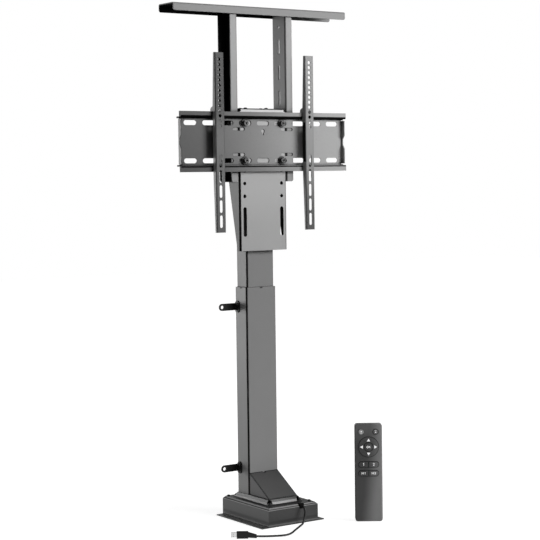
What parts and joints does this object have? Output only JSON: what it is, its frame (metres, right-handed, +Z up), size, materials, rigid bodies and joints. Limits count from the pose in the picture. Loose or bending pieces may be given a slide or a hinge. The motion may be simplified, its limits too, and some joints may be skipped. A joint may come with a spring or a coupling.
{
  "type": "motorised tv column lift",
  "caption": "Floor-standing motor-driven telescoping column that lifts a television on a slotted rail with hook-on arms and a lid frame, with remote control.",
  "frame": {"origin": "on the floor, at the middle of the four corner bolt holes of the base flanges", "axes": "+Z up; -Y is the front, where the television hangs; +X is to the right seen from the front"},
  "size_m": [0.518, 0.3187, 1.2855],
  "materials": {
    "dark_coat": "satin powder coat, dark grey",
    "grey_coat": "satin powder coat, mid grey",
    "black_coat": "black zinc and black powder coat",
    "bare_steel": "ground steel",
    "gear_brass": "machined",
    "cast_alloy": "die cast",
    "black_plastic": "fine moulded texture",
    "white_nylon": "moulded",
    "black_rubber": "soft matte",
    "bright_plate": "nickel plate",
    "cell_wrap": "shrink sleeve",
    "board_green": "solder mask"
  },
  "bodies": {
    "column": {"base_housing": "dark_coat", "base_cover": "dark_coat", "base_cover_screws": "black_coat", "base_bottom_plate": "dark_coat", "column_foot_plate": "bare_steel", "column_foot_bolts": "black_coat", "column_plinth": "grey_coat", "plinth_screws": "black_coat", "outer_tube": "grey_coat", "upper_glide_pads": "black_plastic", "motor_cover": "dark_coat", "gearbox_housing": "cast_alloy", "gearbox_cover": "cast_alloy", "screw_bearing": "bare_steel", "drive_motor": "black_coat", "control_box": "black_plastic", "power_inlet": "black_plastic", "wall_tab_upper": "black_coat", "wall_tab_lower": "black_coat", "wall_tab_screws": "black_coat", "cable_grommet": "black_rubber", "usb_cord": "black_rubber", "usb_plug_body": "black_plastic", "usb_plug_shell": "bright_plate", "remote_front_shell": "black_plastic", "remote_rear_shell": "black_plastic", "battery_door": "black_plastic", "batteries": "cell_wrap", "remote_board": "board_green"},
    "carriage": {"inner_tube": "grey_coat", "inner_tube_cap": "bare_steel", "lower_glide_pads": "black_plastic", "lead_nut": "white_nylon", "mount_bracket": "grey_coat", "cap_screws": "black_coat", "vesa_rail": "grey_coat", "rail_bolts": "black_coat", "rail_washers": "black_coat", "rail_nuts": "black_coat", "post_bolts": "black_coat", "post_spacers": "bare_steel", "post_nuts": "black_coat"},
    "screw_shaft": {"lead_screw": "bare_steel", "worm_wheel": "gear_brass"},
    "motor_shaft": {"motor_worm": "bare_steel"},
    "lid_frame": {"post_left": "grey_coat", "post_right": "grey_coat", "top_channel": "grey_coat", "channel_screws": "black_coat"},
    "left_arm": {"arm_left": "grey_coat"},
    "right_arm": {"arm_right": "grey_coat"},
    "key_lower_cap": {"key_lower": "black_rubber"},
    "key_raise_cap": {"key_raise": "black_rubber"},
    "key_ring_cap": {"key_ring": "black_plastic"},
    "key_ok_cap": {"key_ok": "black_rubber"},
    "key_one_cap": {"key_one": "black_rubber"},
    "key_two_cap": {"key_two": "black_rubber"},
    "key_memory_one_cap": {"key_memory_one": "black_rubber"},
    "key_memory_two_cap": {"key_memory_two": "black_rubber"}
  },
  "joints": [
    {"name": "lift_slide", "type": "slide", "parent": "column", "child": "carriage", "axis": [0, 0, 1], "range_m": [-0.43, 0]},
    {"name": "screw_spin", "type": "hinge", "parent": "column", "child": "screw_shaft", "pos_m": [0, 0.052, 0.1], "axis": [0, 0, 1], "range_deg": [-20, 9695]},
    {"name": "worm_spin", "type": "hinge", "parent": "column", "child": "motor_shaft", "pos_m": [-0.027, 0.052, 0.034], "axis": [0, 1, 0], "range_deg": [-200, 116300]},
    {"name": "lid_slide", "type": "slide", "parent": "carriage", "child": "lid_frame", "axis": [0, 0, 1], "range_m": [-0.015, 0.015]},
    {"name": "left_arm_slide", "type": "slide", "parent": "carriage", "child": "left_arm", "axis": [1, 0, 0], "range_m": [-0.083, 0.057]},
    {"name": "right_arm_slide", "type": "slide", "parent": "carriage", "child": "right_arm", "axis": [1, 0, 0], "range_m": [-0.042, 0.098]},
    {"name": "key_lower_press", "type": "slide", "parent": "column", "child": "key_lower_cap", "axis": [0.5678, 0.8231, 0], "range_m": [0, 0.001], "stiffness_N_per_m": 400, "springref_m": -0.0005},
    {"name": "key_raise_press", "type": "slide", "parent": "column", "child": "key_raise_cap", "axis": [0.5678, 0.8231, 0], "range_m": [0, 0.001], "stiffness_N_per_m": 400, "springref_m": -0.0005},
    {"name": "key_ring_press", "type": "slide", "parent": "column", "child": "key_ring_cap", "axis": [0.5678, 0.8231, 0], "range_m": [0, 0.001], "stiffness_N_per_m": 400, "springref_m": -0.0005},
    {"name": "key_ok_press", "type": "slide", "parent": "column", "child": "key_ok_cap", "axis": [0.5678, 0.8231, 0], "range_m": [0, 0.001], "stiffness_N_per_m": 400, "springref_m": -0.0005},
    {"name": "key_one_press", "type": "slide", "parent": "column", "child": "key_one_cap", "axis": [0.5678, 0.8231, 0], "range_m": [0, 0.001], "stiffness_N_per_m": 400, "springref_m": -0.0005},
    {"name": "key_two_press", "type": "slide", "parent": "column", "child": "key_two_cap", "axis": [0.5678, 0.8231, 0], "range_m": [0, 0.001], "stiffness_N_per_m": 400, "springref_m": -0.0005},
    {"name": "key_memory_one_press", "type": "slide", "parent": "column", "child": "key_memory_one_cap", "axis": [0.5678, 0.8231, 0], "range_m": [0, 0.001], "stiffness_N_per_m": 400, "springref_m": -0.0005},
    {"name": "key_memory_two_press", "type": "slide", "parent": "column", "child": "key_memory_two_cap", "axis": [0.5678, 0.8231, 0], "range_m": [0, 0.001], "stiffness_N_per_m": 400, "springref_m": -0.0005}
  ],
  "couplings": [
    {"joint": "screw_spin", "follows": "lift_slide", "rad_per_m": -392.7},
    {"joint": "worm_spin", "follows": "lift_slide", "rad_per_m": -4712.4}
  ]
}
